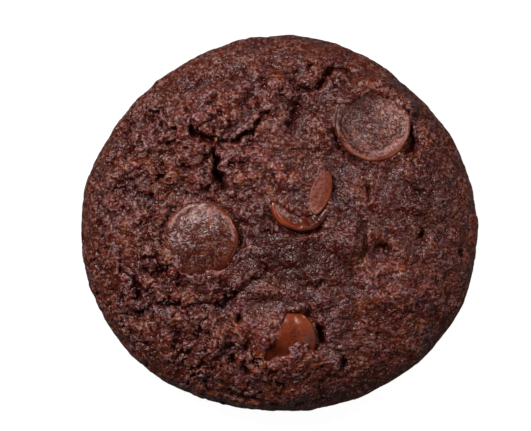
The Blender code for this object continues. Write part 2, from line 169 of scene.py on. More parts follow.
dough = {
    "points": 128,  # round the first circle
    "rings": 30,
    "bulgeHeight": 5.6,  # mm above the table, where it is widest
    "crownHeight": 15.8,  # mm, before the lumps
    "footShare": 0.86,  # the flat underside's radius over the outline's
    "planPower": 2.75,
    "topPower": 1.95,
    "voxel": 0.25,  # mm
    "undersideKept": 0.12,  # share of the underside's faces that stay
    "mostTriangles": 197000,
    "hollowRounds": (3, 14, 70),  # over how many vertices a hollow is felt: fine, broad, a whole lump
    "lumpScale": 1.1,
    "stray": ((0.34, 2.2), (0.32, 0.8)),  # how far edges wander, and over what length; mm
    "widening": 0.9,  # how unevenly wide the creases are
    # heights and sizes in mm: broad unevenness, clods, curds on them, beads and folds on those
    "rolling": 0.6,
    "clods": {"size": 3.4, "seam": 0.24, "plateau": 0.4, "step": 0.36, "dome": 0.25, "level": 0.45},
    "curds": {"size": 1.8, "seam": 0.2, "plateau": 0.11, "step": 0.06, "dome": 0.04, "level": 0.5},
    "beads": {"size": 0.95, "seam": 0.14, "groove": 0.025, "step": 0.025, "dome": 0.05},
    "folds": 0.035,
    "unevenness": 0.04,
    "clefts": {"size": 2.6, "depth": 0.6, "swell": 0.28},
    "pits": {"size": 1.3, "depth": 0.45, "missing": 0.62},
    # lobes, size and direction in degrees of the waves that bend the round outline
    "outline": (
        (1, 0.0205, -82), (2, 0.0258, 3), (3, 0.0154, -95), (4, 0.0034, -39), (5, 0.004, 54),
        (7, 0.003, 157),
    ),
    # clods and swellings: x, y, half length, half breadth, turn in degrees, height; mm
    "lumps": (
        (-11.5, 18.8, 5.4, 4.2, 20, 1.1), (-12.9, 17, 2.2, 1.9, 0, 0.5), (-8.4, 18, 1.7, 2.3, -35, 0.45),
        (-12, 21.4, 2.3, 1.3, -30, 0.4), (-6.7, 22, 1.6, 2.3, -40, 0.6), (-3.6, 25.4, 2, 1.7, 0, 0.9),
        (4.6, 27, 4.8, 1.5, 5, 0.95), (6.6, 26.5, 1.5, 1.2, 20, 0.45), (5.3, 24, 2.3, 1.6, 10, 0.95),
        (9.4, 23.2, 1.7, 1.7, 0, 0.55), (0.3, 22.6, 1.8, 1.5, 0, 0.45), (-1.4, 19.6, 1.8, 1.5, 0, 0.35),
        (-14.9, 12.2, 3, 2.7, 0, 1), (-12.9, 7.8, 2.2, 2.6, 0, 0.95), (-17.9, 7.2, 1.9, 2.2, 20, 0.8),
        (-23, 14.1, 2.6, 2.4, 30, 0.75), (-17.3, 17, 2.1, 1.6, 0, 0.65), (-21, 19, 1.8, 1.5, 0, 0.5),
        (-27.6, 6.9, 1.8, 1.8, 0, 0.6), (-25.6, 9.6, 1.8, 1.5, 0, 0.6), (-22.7, 5.2, 1.1, 1, 0, 0.6),
        (-22.5, 9, 1.7, 1.4, 0, 0.6), (-28, 2.6, 1.7, 1.5, 0, 0.5), (-16.9, 23.5, 1.4, 1.1, 20, 0.4),
        (-25.2, -0.8, 2, 1.6, 0, 0.4), (-29, -1.4, 1.5, 1.6, 0, 0.4), (-20.6, 2.2, 1.4, 1.6, 0, 0.45),
        (-4.2, 11.3, 2.8, 2.3, -20, 1.05), (-7.9, 10.9, 1.2, 1.1, 0, 0.5), (-5.6, 7.2, 2.9, 2, -10, 1.05),
        (-0.9, 8, 2.3, 1.8, -30, 0.85), (1.8, 6.5, 2.2, 1.5, -10, 0.95), (-3.9, 1.8, 1.7, 1.6, 0, 0.7),
        (6.9, 13.8, 1.9, 3.6, 10, 0.85), (-0.6, 13.4, 2.2, 1.6, 10, 0.45), (11.6, 4.4, 1.5, 2, 0, 0.45),
        (14.3, 23.1, 2, 1, -10, 0.4), (22.4, 8.3, 2.7, 2.3, 0, 0.85), (25.2, 14.4, 1.5, 2.9, 20, 0.55),
        (16.6, 2.6, 2.1, 1.4, 0, 0.55), (22.6, 2.6, 2.4, 1.6, 0, 0.45), (29.8, -2.4, 1.4, 1.6, 0, 0.6),
        (27.8, 7.2, 2.2, 1.4, 0, 0.35), (12, -3.5, 2.8, 3.4, 0, 1.3), (19.2, -11.2, 4.8, 4.2, 0, 1),
        (17, -8.4, 1.7, 1.4, 30, 0.4), (20.8, -8.8, 1.7, 1.3, 0, 0.35), (17.8, -13.6, 1.7, 1.4, 0, 0.4),
        (26, -5.4, 2.2, 2.4, 0, 0.4), (-3.6, -5.2, 2.3, 1, 0, 0.55), (-4.6, -8.6, 1.7, 1.2, 0, 0.6),
        (3.4, -6.6, 2.8, 1, 15, 0.5), (-15.6, -9.2, 4.2, 1, -18, 0.85), (-19.7, -11.8, 3.3, 1.9, -20, 1.1),
        (-11, -12, 2.1, 1.6, 0, 0.9), (-15.6, -16.9, 5.2, 1.9, -8, 0.65),
        (-2.6, -11.8, 2.7, 1.5, 10, 0.75), (1.6, -12.2, 2.4, 1.5, 0, 0.75),
        (7.3, -13.5, 1.7, 1.5, 0, 0.75), (-10.6, -20.6, 1.7, 3, -30, 0.9), (-7.1, -19.8, 1, 2.7, 10, 0.8),
        (-6.6, -23.8, 1.1, 1.2, 0, 0.75), (-13.6, -25.8, 1.5, 1.2, 0, 0.75),
        (-25.4, -12.6, 1.2, 1.8, 0, 0.6), (-23.2, -18, 1.5, 1.2, 0, 0.55), (-22, -6.2, 1.5, 1.7, 0, 0.7),
        (0.6, -20.6, 6.9, 6.7, 0, 1), (7.4, -24.6, 3, 1.6, 25, 0.65), (21.8, -21.6, 1.7, 1.3, 0, 0.45),
        (15, -24.4, 2.2, 1.3, 20, 0.35),
    ),
    # in the same order, with their depth
    "hollows": (
        (22.4, 12.6, 1.9, 1.3, 50, 1.5), (24, -2.4, 0.7, 0.8, 0, 1.4), (16.4, -5, 2.4, 1.1, 15, 0.9),
        (-23.9, -11.4, 0.9, 1.7, 0, 1.3), (-9.9, 6.3, 0.95, 1.5, 10, 2.6), (-9.3, -14.2, 1, 1.5, -45, 1.4),
        (-6.6, -16.6, 0.6, 0.7, 0, 1.3), (-7.9, -23.2, 0.5, 0.7, 0, 1.2),
        (-3.7, -24.4, 0.9, 0.6, -20, 1.3), (10.8, -23.6, 0.7, 0.9, 20, 1.3), (2, 15.8, 0.9, 0.8, 0, 0.8),
        (-18.9, 13.1, 1.2, 0.8, 25, 1), (3, 18.6, 1.1, 3.2, 0, 0.7), (31.2, -5.4, 0.5, 0.9, 30, 0.9),
        (-1.8, 4.2, 1.5, 0.5, 0, 0.7), (6.4, -10.9, 1.6, 0.7, 0, 0.6), (26.8, -10.6, 0.9, 0.8, 0, 0.6),
        (11.8, -19.6, 1.3, 0.9, 0, 0.35), (-22.2, 11.3, 0.9, 0.6, -50, 0.8),
        (-19.4, 16.2, 0.5, 1, 10, 0.9), (-8.9, 3.6, 1.7, 0.7, -40, 0.8), (1.7, 24, 0.9, 0.5, -30, 0.8),
        (-23.9, -16.3, 0.5, 1, 0, 0.9), (24, 4.7, 0.6, 0.5, 0, 0.7),
    ),
    # half width, depth and step from side to side, then the points it runs through; mm
    "creases": (
        (0.5, 3, 0.5, ((-11.2, 12.4), (-11, 11.2), (-10.4, 10), (-10.6, 8.6), (-10, 7.4), (-9.7, 5.8),
                       (-8.9, 5.3))),
        (0.44, 2.9, -0.4, ((-11.2, 12.5), (-11.6, 13.5), (-12.6, 13.6), (-13.2, 14.3), (-14.4, 14.5),
                           (-15.1, 15.4), (-15, 16.4))),
        (0.42, 2.2, 0.3, ((-10.7, 12.9), (-9.6, 13.3), (-8.4, 13), (-6.8, 13.4), (-5.6, 14.6),
                          (-4.6, 14.8), (-3.8, 16), (-3, 16.8), (-2, 18.1))),
        (0.3, 1.2, 0, ((-11.4, 10.5), (-12.3, 10.4), (-12.9, 9.7), (-13.9, 9.3))),
        (0.22, 1.1, 0, ((-19.6, 12.9), (-18.6, 13.2), (-17.6, 13.4))),
        (0.22, 1.1, 0, ((-19.8, 16.6), (-19.4, 15.4))),
        (0.22, 1.2, 0.1, ((-21.5, 6), (-20.5, 6.8), (-19.3, 7.7))),
        (0.22, 1.1, 0, ((-19.6, 10.2), (-19.6, 9))),
        (0.22, 1, 0, ((-23, 15.6), (-23.1, 14.2))),
        (0.24, 1, 0, ((-15.7, 19.6), (-15.6, 18.3))),
        (0.26, 1.1, 0, ((-26.7, 2.6), (-26.3, 1.9))),
        (0.26, 1.2, 0.1, ((-10.9, 24.5), (-9.7, 24), (-8.3, 22.6))),
        (0.26, 1, 0, ((-2.9, 22.6), (-1.8, 22), (-1.6, 21.1))),
        (0.22, 1, 0, ((-6.5, 19.6), (-6.1, 18.6))),
        (0.5, 1.8, -0.7, ((1.9, 23.5), (3.4, 22), (5.1, 22), (6.8, 22.8), (7.7, 24.3), (9, 25.7),
                          (11, 25.7), (12.9, 24.5))),
        (0.7, 0.9, 0, ((3.3, 21.8), (3.1, 19.3), (2.9, 17.2), (1.8, 16.1))),
        (0.26, 1.2, 0, ((14.6, 6.8), (14.7, 5.1), (15.1, 3.1))),
        (0.4, 1.3, 0, ((22.1, 16.2), (22.5, 13.9), (22.1, 12.2), (20.9, 11))),
        (0.28, 1.5, 0.2, ((-26.8, -5), (-26.5, -6.6), (-26.7, -9))),
        (0.38, 1.1, 0.4, ((-24.1, -8), (-24, -10.3), (-23.5, -12.4), (-23, -14.1), (-22.1, -15.7))),
        (0.3, 1, 0, ((-20.6, -8.5), (-19.6, -9))),
        (0.65, 0.8, -0.2, ((-4.6, -10.3), (-6.1, -11.4), (-8, -12.7), (-9.5, -14.4))),
        (0.3, 1.1, 0, ((-6.6, -15.6), (-6.8, -16.7))),
        (0.5, 2.6, 0, ((-4.6, -18.6), (-5.1, -20.3), (-5.6, -22.1))),
        (0.3, 1.6, 0, ((-7.8, -23.1), (-7.5, -24.1))),
        (0.34, 1.6, 0, ((-4.3, -24.1), (-3.3, -24.7))),
        (0.28, 1.1, 0.1, ((-12.5, -22.5), (-13, -24.2), (-14.2, -25), (-15.4, -25.7))),
        (0.34, 1.2, 0.2, ((-9.5, -28.5), (-7.3, -29.5), (-5, -29.9), (-2.9, -30.5))),
        (0.5, 2.6, 0, ((6.3, -17.8), (7, -19.1), (7.7, -21.1))),
        (0.32, 1.6, 0, ((10.7, -23.5), (10.2, -25.2))),
        (0.22, 0.7, 0, ((16.4, -17.4), (16.2, -19.8), (16.6, -21.5))),
        (0.45, 0.9, 0.9, ((14.2, -0.6), (14.7, -2.6), (14.6, -4.6), (14.1, -6.6))),
        (0.34, 1.4, 0, ((23.6, -2.3), (24, -2.9))),
        (0.34, 1.4, 0, ((30.5, -5.1), (31.2, -5.8))),
        (0.22, 1, 0, ((26.7, -9.7), (26.7, -10.9))),
        (0.26, 1.2, 0, ((23.1, 5), (23.6, 4.5))),
        (0.24, 1, 0, ((26.7, -14.7), (26.8, -15.7))),
        (0.6, 1, 0, ((16.9, -4), (17.9, -5), (18.3, -6))),
        (0.3, 1, 0, ((-2.3, 4.5), (-1.8, 3.6))),
        (0.4, 1.2, 0, ((-6.6, 0.1), (-5.8, -0.6), (-5, -1.3))),
        (0.3, 1, 0, ((-2.3, -7.7), (-1.9, -9))),
        (0.3, 0.8, 0, ((4.8, -11), (6.1, -10.9), (7.3, -10.3))),
        (0.3, 1, 0, ((0.8, 16.1), (1.4, 15.7))),
    ),
    # where the crust has broken into clods: x, y, half length, half breadth, turn, strength
    "broken": (
        (-18, 12, 13, 10, 45, 1), (-20, -14, 11, 9, -40, 0.9), (-6, -24, 10, 6, 0, 0.8),
        (3, 21, 9, 6, 0, 0.6),
    ),
    # where it is cooler and darker: partly damp inner crumb, partly painted shade on slopes turned from the
    # light; same order
    "cool": (
        (3, 18.6, 2.4, 4.6, 0, 1), (-8.6, 9, 1.8, 4.2, 10, 0.8), (-4.6, -1.2, 2.8, 5.2, 10, 0.9),
        (-2.6, -7, 4.6, 3, 0, 0.8), (4.4, -8.4, 5, 3, 0, 0.7), (11.6, 8.2, 4.4, 2.2, 0, 0.8),
        (9, -18.4, 2.6, 5.4, 10, 1), (-8.8, -13.4, 2.2, 2.6, -40, 1), (0.6, -13.8, 5, 1.4, 0, 0.6),
        (-23.8, -11.6, 1.4, 4, 0, 0.8), (9.2, 3.2, 2.6, 4, 0, 0.7), (-3.4, 17.2, 2.4, 1.4, 40, 0.5),
    ),
    # where the crust has baked warmer
    "warm": (
        (1.8, 10.8, 2.4, 3, 0, 1), (14.2, 24, 2.6, 1.2, -10, 1), (-22.6, 2.4, 3.6, 2.2, 0, 0.7),
        (-17.4, 19.6, 2.4, 1.8, 0, 0.7), (6.4, 23.8, 2.4, 1.2, 10, 0.6), (16.6, -5.4, 3, 1.6, 15, 0.6),
        (-11, 14.2, 2, 1.2, 0, 0.8), (-19.4, -24, 6, 3, -35, 0.6), (14, -21, 5, 3, 20, 0.5),
    ),
    # where it is lighter (+) or darker (-): partly the crust's own bake, partly painted light and shade
    "baked": (
        (-10.5, 18.5, 8, 5, 20, 0.18), (-3.6, 8, 6, 4, 0, 0.36), (2.2, -6.6, 8, 4.6, 0, -0.72),
        (25, 1, 6, 7, 0, -0.42), (3, 19, 3, 5, 0, -0.2), (19, -11, 6, 5, 0, 0.32), (0, -20, 9, 8, 0, 0.06),
        (-14, 11, 5, 4, 0, 0.06), (-4.2, -17.2, 3, 3.4, 40, 0.3), (33, 0, 3, 9, 0, 0.6),
        (-20.4, -4.5, 1.6, 4, 0, -0.4), (10.2, 21.5, 3, 3, 0, -0.35), (0.4, -1.4, 3, 1.6, 0, -0.35),
        (0, -29, 14, 5, 0, 0.16), (-3, -14.6, 3, 1.6, 0, -0.25), (7.2, -16.4, 1.8, 1.6, 0, -0.5),
        (-6.5, 23, 4, 4, 0, -0.12), (9.4, 5.2, 1, 2.6, 0, -0.45), (-11.5, -10.6, 4, 1.2, 0, -0.2),
        (24, 8, 6, 5, 0, -0.1),
    ),
}


# Chips lie broad base upward. Middle of the top, rise over the dome, mm; direction and angle of the lean,
# degrees; radius and dish, mm (a negative dish is a dome). Gaps: direction, spread, width and depth of the
# open groove beside it. Rim: direction and width of the bare edge. Coated: how grainy the top inside it is.
# Bloom (pale coat, partly a painted sheen), ridges and matte bands: direction, spread, radius, half width
# and strength or height.
# Smears of dough, partly painted shade, and dusted (paler) patches: x, y, half length, half breadth, turn,
# strength. Dust: paleness of the grainy top away from those. Shade: painted shade, the direction in which
# the top is painted lighter, and how much. Laps of dough over it: x, y, half length, half breadth, turn,
# thickness, how softly they set in; mm.
chips = {
    "chipLeft": {
        "node": "chip_left", "at": (-13.15, -3.35), "rise": 0.35, "lean": (192, 7),
        "radius": 6.4, "dish": -0.5, "coated": 1, "dust": 0.1, "shade": (105, 0.34),
        "gaps": ((35, 65, 0.7, 1.4), (150, 40, 0.4, 0.8), (205, 40, 0.5, 0.9)),
        "rim": (
            (-75, 0.45), (-45, 1.05), (-20, 0.9), (10, 0.75), (40, 0.65), (65, 0.5), (80, 0.2),
            (110, 0.15), (150, 0.4), (180, 0.4), (215, 0.2), (250, 0.15),
        ),
        "bloom": ((80, 38, 5, 0.9, 0.5), (137, 34, 5.45, 0.4, 0.55), (25, 40, 5.5, 0.16, 0.9)),
        "ridges": ((137, 40, 5.5, 0.35, 0.12), (137, 40, 4.85, 0.3, -0.15), (-10, 60, 5.1, 0.35, -0.12)),
        "smears": (
            (-4.4, -3, 2.8, 1.6, -45, 1), (0.5, -5.4, 3, 1, 0, 1), (1.8, -1.8, 3.6, 2.4, 20, 0.45),
        ),
        "matte": (),
        "dusted": (
            (-3.9, 1.4, 1.3, 2.6, 0, 0.8), (0, 3.6, 3.4, 1.2, 0, 0.45), (3.6, 2.2, 1.6, 2, 0, 0.45),
        ),
        "laps": ((-18.6, -7, 2.6, 1.8, -40, 0.25, 1.2), (-12, -9.9, 3.2, 1.5, 5, 0.3, 0.8)),
    },
    "chipUpperRight": {
        "node": "chip_upper_right", "at": (15.75, 16.2), "rise": 0.55, "lean": (48, 13),
        "radius": 6.6, "dish": 0.7, "coated": 1, "dust": 0.16, "shade": (-45, 0.22),
        "gaps": ((222, 40, 0.6, 1.5), (345, 20, 0.3, 0.55)),
        "rim": (
            (-100, 0.85), (-75, 0.85), (-50, 0.8), (-20, 0.9), (10, 0.95), (30, 0.45), (50, 0), (150, 0),
            (170, 0.45), (195, 0.6), (220, 0.8),
        ),
        "bloom": (
            (-68, 36, 4.95, 0.6, 1), (-38, 16, 5.3, 0.6, 1), (-10, 34, 5.9, 0.25, 0.9), (8, 8, 6, 0.4, 1),
            (250, 36, 6, 0.22, 0.7), (55, 40, 4.2, 1.5, 0.35), (245, 26, 4.1, 0.8, 0.45),
        ),
        "ridges": (
            (-66, 40, 4.15, 0.25, -0.24), (-68, 40, 5, 0.5, 0.12), (200, 60, 5.2, 0.35, -0.14),
            (0, 40, 5.1, 0.35, -0.14),
        ),
        "smears": (
            (-2.9, 3.4, 2.4, 1.8, 20, 0.9), (0.3, 4.9, 3, 0.7, -5, 0.8), (4.6, 3.9, 1.2, 0.8, -50, 0.9),
            (-6.4, 0.4, 0.9, 3.4, 0, 0.9), (-4.4, -0.6, 0.9, 2, 0, 0.6),
        ),
        "matte": ((180, 75, 6.5, 1.2, 0.7),),
        "dusted": (
            (1.8, 3.4, 1.8, 1.4, 0, 1.2), (3.9, 1.8, 1.6, 2.2, 0, 1.2), (-2.4, -2.8, 1.6, 1.6, 0, 1),
            (1, -0.6, 2.6, 2, 0, 0.7),
        ),
        "laps": (
            (12.4, 22.7, 5.6, 2.8, 18, 0.7, 1.3), (17.8, 23.3, 5.2, 2.5, -22, 0.7, 1.1),
            (21.4, 20.8, 1.9, 2.4, 25, 0.5, 0.5),
        ),
    },
    "chipLower": {
        "node": "chip_lower", "at": (1, -20), "rise": 0.05, "lean": (262, 9),
        "radius": 5.2, "dish": -0.95, "coated": 0.12, "dust": 0.4, "shade": (80, 0.3),
        "gaps": ((15, 60, 0.9, 2.1),),
        "rim": ((0, 1.5), (180, 1.5)),
        "bloom": ((95, 20, 3.2, 0.3, 0.4), (150, 30, 2, 0.6, 0.35)),
        "ridges": ((222, 34, 3.2, 1.3, -0.6), (160, 50, 1.6, 0.8, 0.1)),
        "smears": ((-2.6, -2.4, 2.8, 1.8, 40, 1.3), (4.3, -0.6, 1.2, 2.8, 0, 0.75)),
        "matte": ((0, 60, 4.8, 1, 0.6),),
        "dusted": (),
        "laps": (
            (-2.4, -16.6, 3.4, 2.9, 60, 0.7, 0.9), (-3.4, -18.8, 3.6, 2.9, 45, 0.7, 0.6),
            (-4.5, -22.4, 2, 2.2, 0, 0.7, 0.5), (3.1, -21.2, 1.6, 0.75, 0, 0.45, 0.4),
            (3.8, -24.5, 5.2, 3, 12, 0.8, 0.5), (-1.6, -25.6, 3, 2, 0, 0.8, 0.5),
        ),
    },
    "chipCentre": {
        "node": "chip_centre", "at": (3.5, 3), "rise": -0.15, "lean": (85, 9),
        "radius": 5.1, "dish": 0.7, "coated": 0.9, "dust": 0.5, "shade": (180, 0.2),
        "gaps": ((265, 80, 0.6, 1.2),),
        "rim": ((0, 2.2), (175, 0.9), (205, 1.1), (235, 1.3), (265, 1.7), (290, 2.6)),
        "bloom": ((200, 20, 3.7, 0.3, 0.8), (222, 12, 3.3, 0.25, 0.5)),
        "ridges": ((215, 50, 4.1, 0.7, 0.12), (300, 16, 4.3, 1.2, -0.3), (278, 8, 3.6, 0.8, 0.15)),
        "smears": ((2.5, -3.1, 2.6, 1.9, 20, 1.3),),
        "matte": ((300, 60, 4.2, 1.6, 0.4),),
        "dusted": (),
        "laps": (
            (4, 4.2, 3.6, 3.5, 0, 0.55, 1.2), (3.4, 5.4, 6.8, 3.3, 0, 0.9, 1.2),
            (8.8, 3.4, 1.7, 1.9, 0, 0.5, 0.8),
        ),
    },
}

# what the chips have in common; sizes in mm
chipMould = {
    "depth": 4.8,
    "wall": 1.6,  # height of the side over the slumped tip
    "rimShare": 0.105,  # breadth of the rounded rim over the radius
    "under": 1.3,  # from a bare chip's rim down to the dough's own surface under it
    "hugReach": 0.9,  # how near the wall the dough hugs it
    "hugDrop": 0.4,  # and how far under the rim
    "lapRagged": 0.45,  # how far the edge of a lap wanders
    "voxel": 0.15,
    "waves": ((0.16, 3.2), (0.03, 1.3)),  # height and size of the unevenness
    "grain": 0.26,  # share of the dough's small grain on a coated top
}


def reachAt(angle):
    bends = dough["outline"]
    return 1 + sum(size * math.cos(lobes * angle - math.radians(way)) for lobes, size, way in bends)


def fitOutline():
    # middle of the bent outline and the radius that makes it as wide as the part
    angles = [math.radians(step / 2) for step in range(720)]
    xs = [reachAt(a) * math.cos(a) for a in angles]
    ys = [reachAt(a) * math.sin(a) for a in angles]
    low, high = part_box("cookie")
    return (max(xs) + min(xs)) / 2, (max(ys) + min(ys)) / 2, (high.x - low.x) / (max(xs) - min(xs)) / mm


outlineX, outlineY, meanRadius = fitOutline()


def shareAt(x, y):
    # share of the way from the outline's middle to its edge; mm in
    fromX, fromY = x / meanRadius + outlineX, y / meanRadius + outlineY
    return math.hypot(fromX, fromY) / reachAt(math.atan2(fromY, fromX))


def domeHeight(x, y):
    angle = math.asin(min(shareAt(x, y), 1.0) ** (dough["planPower"] / 2))
    rise = dough["crownHeight"] - dough["bulgeHeight"]
    return dough["bulgeHeight"] + rise * math.cos(angle) ** (2 / dough["topPower"])


def doughRings():
    # radius share and height in mm, from the foot up over the bulge to the crown
    rings = []
    for step in range(1, 9):
        turn = math.pi / 2 * step / 8
        rings.append((dough["footShare"] + (1 - dough["footShare"]) * math.sin(turn),
                      dough["bulgeHeight"] * (1 - math.cos(turn))))
    rise = dough["crownHeight"] - dough["bulgeHeight"]
    for step in range(1, dough["rings"]):
        turn = math.pi / 2 * step / dough["rings"]
        rings.append((math.cos(turn) ** (2 / dough["planPower"]),
                      dough["bulgeHeight"] + rise * math.sin(turn) ** (2 / dough["topPower"])))
    return rings


def buildDoughBlank():
    # a circle drawn out ring by ring into the plain cookie
    deselectAll()
    start = dough["footShare"] * meanRadius * mm
    bpy.ops.mesh.primitive_circle_add(vertices=dough["points"], radius=start, fill_type="NGON")
    blank = bpy.context.object
    blank.name = "doughCrust"
    goTo("EDIT")
    share, height = dough["footShare"], 0.0
    for nextShare, nextHeight in doughRings():
        extrude((nextHeight - height) * mm)
        bpy.ops.transform.resize(value=(nextShare / share, nextShare / share, 1))
        share, height = nextShare, nextHeight
    bpy.ops.mesh.select_all(action="SELECT")
    bpy.ops.mesh.normals_make_consistent(inside=False)
    goTo("OBJECT")
    points = readPoints(blank)
    for point in points:
        point[:2] *= reachAt(math.atan2(point[1], point[0]))
    points[:, 0] -= outlineX * meanRadius * mm
    points[:, 1] -= outlineY * meanRadius * mm
    writePoints(blank, points)
    return blank


def inEllipse(x, y, spot):
    # along and across an ellipse, each 1 at its edge
    atX, atY, long, broad, turn = spot[:5]
    turn = math.radians(turn)
    along = ((x - atX) * math.cos(turn) + (y - atY) * math.sin(turn)) / long
    across = ((y - atY) * math.cos(turn) - (x - atX) * math.sin(turn)) / broad
    return along, across


def swelling(x, y, spot, power=2.0):
    # a smooth bump; a higher power makes its top flatter and its side steeper
    along, across = inEllipse(x, y, spot)
    return np.exp(-((along * along + across * across) ** power))


def cap(x, y, lump):
    # a low dome with a crease round its foot
    along, across = inEllipse(x, y, lump)
    return np.clip(1 - (along * along + across * across) / 1.25, 0, 1) ** 0.85


def ellipseDepth(x, y, lap):
    # roughly how far inside an ellipse a point lies, in mm
    return (1 - np.hypot(*inEllipse(x, y, lap))) * min(lap[2:4])


def creaseCut(x, y, crease, widen):
    # depth of one crease at each point, and the step between its two sides
    halfWidth, depth, step, path = crease
    nearest = np.full(x.shape, 1e9)
    along = np.zeros(x.shape)
    side = np.zeros(x.shape)
    total = sum(math.dist(a, b) for a, b in zip(path, path[1:]))
    walked = 0.0
    for a, b in zip(path, path[1:]):
        leg = math.dist(a, b)
        way = ((b[0] - a[0]) / leg, (b[1] - a[1]) / leg)
        share = np.clip(((x - a[0]) * way[0] + (y - a[1]) * way[1]) / leg, 0, 1)
        offX, offY = x - a[0] - share * leg * way[0], y - a[1] - share * leg * way[1]
        away = np.hypot(offX, offY)
        closer = away < nearest
        nearest[closer] = away[closer]
        along[closer] = ((walked + share * leg) / total)[closer]
        side[closer] = np.sign(way[0] * offY - way[1] * offX)[closer]
        walked += leg
    # it tapers towards both ends, with a raised lip along it and a step across it
    taper = 0.35 + 0.65 * np.sin(np.pi * np.clip(along, 0.02, 0.98)) ** 0.7
    width = halfWidth * widen * (0.6 + 0.4 * taper)
    cut = depth * taper * np.exp(-((nearest / width) ** 3))
    lip = 0.07 * depth * np.exp(-((nearest - 2.6 * halfWidth) / (1.4 * halfWidth)) ** 2)
    shelf = 0.5 * step * side * np.exp(-((nearest / 2.2) ** 2)) * (nearest > 1e-6)
    return cut, lip, shelf * taper


def chipAxis(chip):
    way, lean = (math.radians(a) for a in chip["lean"])
    return Vector((math.sin(lean) * math.cos(way), math.sin(lean) * math.sin(way), math.cos(lean)))


def chipMiddle(chip):
    return domeHeight(*chip["at"]) + chip["rise"]


def chipPlane(chip, x, y):
    # height of the plane through the chip's rim
    axis = chipAxis(chip)
    return chipMiddle(chip) - (axis.x * (x - chip["at"][0]) + axis.y * (y - chip["at"][1])) / axis.z


def chipReach(chip, x, y):
    # distance from the chip's middle measured in its own plane, and the direction in degrees
    way = math.radians(chip["lean"][0])
    offX, offY = x - chip["at"][0], y - chip["at"][1]
    alongLean = (offX * math.cos(way) + offY * math.sin(way)) / math.cos(math.radians(chip["lean"][1]))
    across = offY * math.cos(way) - offX * math.sin(way)
    return np.hypot(alongLean, across), np.degrees(np.arctan2(offY, offX))


def turnBetween(a, b):
    return np.abs((a - b + 180) % 360 - 180)


def grooveBeside(chip, reach, way):
    # depth of the open grooves round a chip
    groove = np.zeros(reach.shape)
    for gapWay, spread, gapWidth, gapDepth in chip["gaps"]:
        sector = fade(spread, spread * 0.5, turnBetween(way, gapWay))
        beside = np.exp(-(((reach - chip["radius"] - 0.3 * gapWidth) / gapWidth) ** 2))
        groove = np.maximum(groove, gapDepth * sector * beside)
    return groove


def lapOver(chip, x, y):
    # how far inside a lap each point lies, and that lap's thickness and softness
    covered = np.full(x.shape, -9.0)
    thickness, soft = np.zeros(x.shape), np.ones(x.shape)
    for lap in chip["laps"]:
        depthIn = ellipseDepth(x, y, lap)
        better = depthIn > covered
        covered[better] = depthIn[better]
        thickness[better], soft[better] = lap[5:]
    return covered, thickness, soft


def doughByChip(chip, x, y, height, ragged):
    # the dough's height round one chip, under its bare part and over its lapped part
    reach, way = chipReach(chip, x, y)
    plane, radius = chipPlane(chip, x, y), chip["radius"]
    groove = grooveBeside(chip, reach, way)
    outside = height - groove
    # far from the gaps the dough hugs the chip's wall just under its rim
    hug = np.exp(-(((reach - radius) / chipMould["hugReach"]) ** 2)) * (groove < 0.2)
    outside += hug * 0.8 * np.clip(plane - chipMould["hugDrop"] - outside, 0, 1.5)
    # a lap lies on the chip's face, which is sunk inside the rim or domed, and thins out towards its edge
    covered, thickness, soft = lapOver(chip, x, y)
    covered += chipMould["lapRagged"] * ragged
    rimSize = chipMould["rimShare"] * radius
    sunk = (0.15 * rimSize + chip["dish"]) * fade(radius - 1.2 * rimSize, radius - 3.4 * rimSize, reach)
    thickness *= 1 - np.exp(-np.clip(covered, 0, None) / soft)
    over = plane - 0.92 * sunk + thickness + 0.05 / soft
    nearChip = fade(radius + 2.6, radius + 0.2, reach)
    lapped = outside + nearChip * np.clip(over - outside, 0, None)
    inside = fade(radius - 0.25, radius - 0.60, reach)
    bare = outside * (1 - inside) + np.minimum(plane - chipMould["under"], outside + 2) * inside
    cover = fade(-0.70, 0.15, covered) * fade(radius + 4.0, radius + 2.0, reach)
    return bare * (1 - cover) + lapped * cover


def reliefAt(x, y, plain, ragged, widen):
    # the dough's height over each point, in mm
    height = plain.copy()
    for lump in dough["lumps"]:
        height += dough["lumpScale"] * lump[5] * cap(x, y, lump)
    for hollow in dough["hollows"]:
        height -= hollow[5] * swelling(x, y, hollow, 1.3)
    cut = np.zeros(x.shape)
    for crease in dough["creases"]:
        depth, lip, shelf = creaseCut(x, y, crease, widen)
        cut = np.maximum(cut, depth)
        height += lip + shelf
    height -= cut
    for chip in chips.values():
        height = doughByChip(chip, x, y, height, ragged)
    return height


def cobbles(points, spec, seed):
    # flat-topped lumps of many heights, parted by narrow seams, in mm
    near, second, own = cellField(points, spec["size"], seed)
    plateau = spec["plateau"] * (fade(0.0, spec["seam"], second - near) - 0.7)
    return plateau + spec["step"] * (own - 0.5) + spec["dome"] * (spec["level"] - near), own


def wanderingAt(points):
    # how far the edges of lumps and creases stray sideways, mm, and how much wider or narrower a crease is
    flat = np.column_stack([points[:, 0], points[:, 1], np.zeros(len(points))])
    strayX, strayY = (waves(flat, dough["stray"], (seed, seed + 30)) for seed in (1, 2))
    return strayX, strayY, np.clip(1 + dough["widening"] * cloudField(flat, 1.3, 2, 4), 0.55, 1.8)


